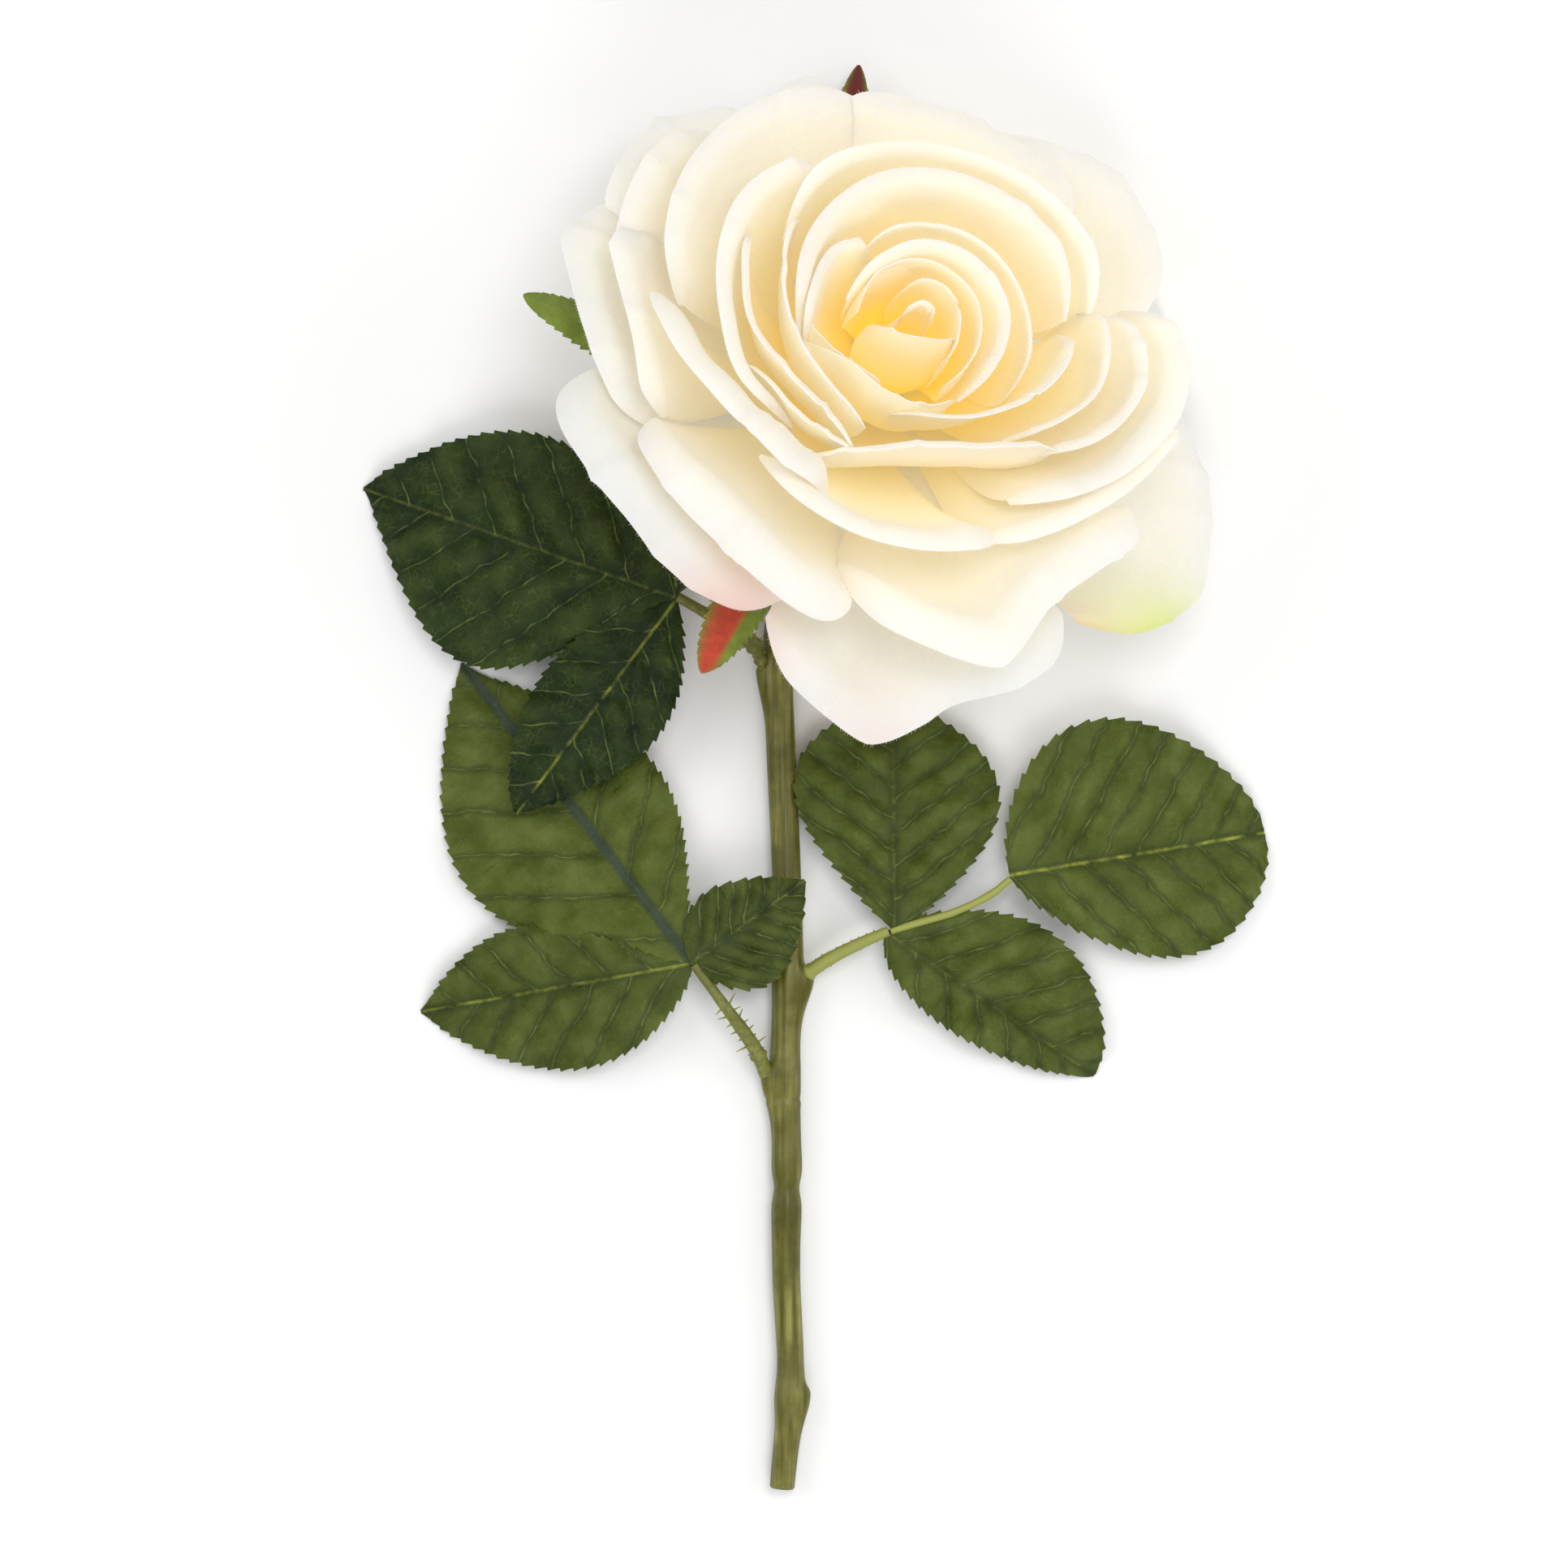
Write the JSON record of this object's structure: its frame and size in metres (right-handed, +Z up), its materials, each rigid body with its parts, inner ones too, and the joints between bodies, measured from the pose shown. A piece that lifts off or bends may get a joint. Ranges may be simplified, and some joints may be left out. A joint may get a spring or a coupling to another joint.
{
  "type": "artificial cut rose",
  "caption": "Artificial cream rose with a full bloom of cloth petals on a leafy moulded stem, lying on its side.",
  "frame": {"origin": "middle of the whole rose's box, on the surface that it lies on", "axes": "+Y along the stem from the cut end to the bloom, +Z up off the surface, +X to the right when looking down with the bloom away"},
  "size_m": [0.1678, 0.2646, 0.0743],
  "materials": {
    "petal": "fine woven cream cloth with a soft sheen, warmer in the depths, blushed pink and green at the edges of the outer petals",
    "leaf": "printed woven cloth, dark olive green with yellow-green veins and pressed creases",
    "stem": "moulded plastic, olive brown-green with paler lengthwise streaks",
    "petiole": "moulded plastic, yellow-green",
    "calyx": "moulded plastic, light olive green",
    "sepal": "printed cloth, green with a red flush",
    "core": "plain cream foam plug that the petals are glued round"
  },
  "bodies": {
    "root": {"bud_petal_1": "petal", "bud_petal_2": "petal", "bud_petal_3": "petal", "bud_petal_4": "petal", "calyx": "calyx", "guard_petal_1": "petal", "guard_petal_2": "petal", "guard_petal_3": "petal", "guard_petal_4": "petal", "guard_petal_5": "petal", "guard_petal_6": "petal", "guard_petal_7": "petal", "heart_petal_1": "petal", "heart_petal_2": "petal", "heart_petal_3": "petal", "heart_petal_4": "petal", "heart_petal_5": "petal", "heart_petal_6": "petal", "inner_petal_1": "petal", "inner_petal_2": "petal", "inner_petal_3": "petal", "inner_petal_4": "petal", "inner_petal_5": "petal", "inner_petal_6": "petal", "lower_leaflet_side": "leaf", "lower_leaflet_small": "leaf", "lower_leaflet_terminal": "leaf", "lower_petiole": "petiole", "middle_petal_1": "petal", "middle_petal_2": "petal", "middle_petal_3": "petal", "middle_petal_4": "petal", "middle_petal_5": "petal", "middle_petal_6": "petal", "middle_petal_7": "petal", "outer_petal_1": "petal", "outer_petal_2": "petal", "outer_petal_3": "petal", "outer_petal_4": "petal", "outer_petal_5": "petal", "outer_petal_6": "petal", "outer_petal_7": "petal", "petal_core": "core", "right_leaflet_side": "leaf", "right_leaflet_terminal": "leaf", "right_leaflet_upper": "leaf", "right_petiole": "petiole", "right_stalk": "petiole", "sepal_1": "sepal", "sepal_2": "sepal", "sepal_3": "sepal", "sepal_4": "sepal", "sepal_5": "sepal", "stem": "stem", "upper_leaflet_hidden": "leaf", "upper_leaflet_side": "leaf", "upper_leaflet_terminal": "leaf", "upper_petiole": "petiole"}
  },
  "joints": []
}
